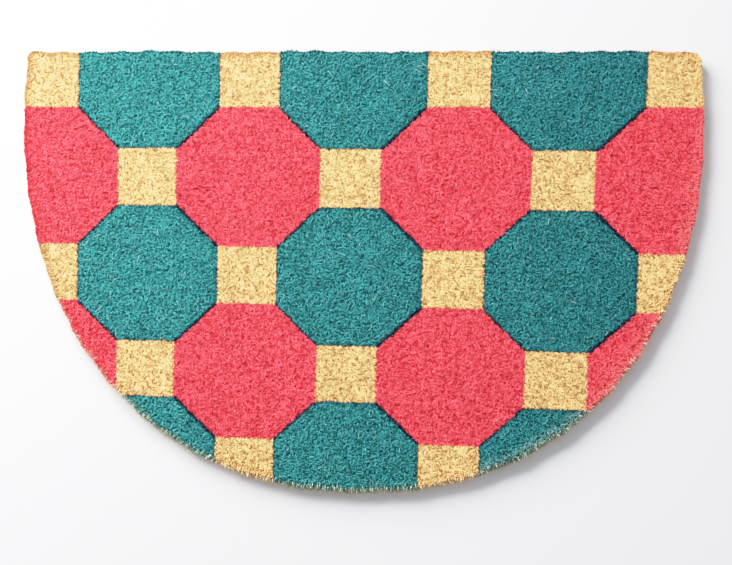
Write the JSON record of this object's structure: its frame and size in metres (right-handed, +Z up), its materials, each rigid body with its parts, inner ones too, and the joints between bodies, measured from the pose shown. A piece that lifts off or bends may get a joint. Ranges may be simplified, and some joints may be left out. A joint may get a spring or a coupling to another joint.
{
  "type": "coir doormat",
  "caption": "Half-moon doormat of close cut coir pile with a straight back edge, a rounded front and a printed tiling of octagons and squares.",
  "frame": {"origin": "middle of the footprint's box, on the flat underside", "axes": "+X along the straight back edge, +Y from the rounded front to the back edge, +Z up through the pile"},
  "size_m": [0.5998, 0.3996, 0.016],
  "materials": {
    "coir_natural": "cut coir pile, undyed golden fibre, matt",
    "coir_teal": "cut coir pile, tips dyed teal, matt",
    "coir_coral": "cut coir pile, tips dyed coral pink, matt"
  },
  "bodies": {
    "root": {"pile_slab": "coir_natural"}
  },
  "joints": []
}
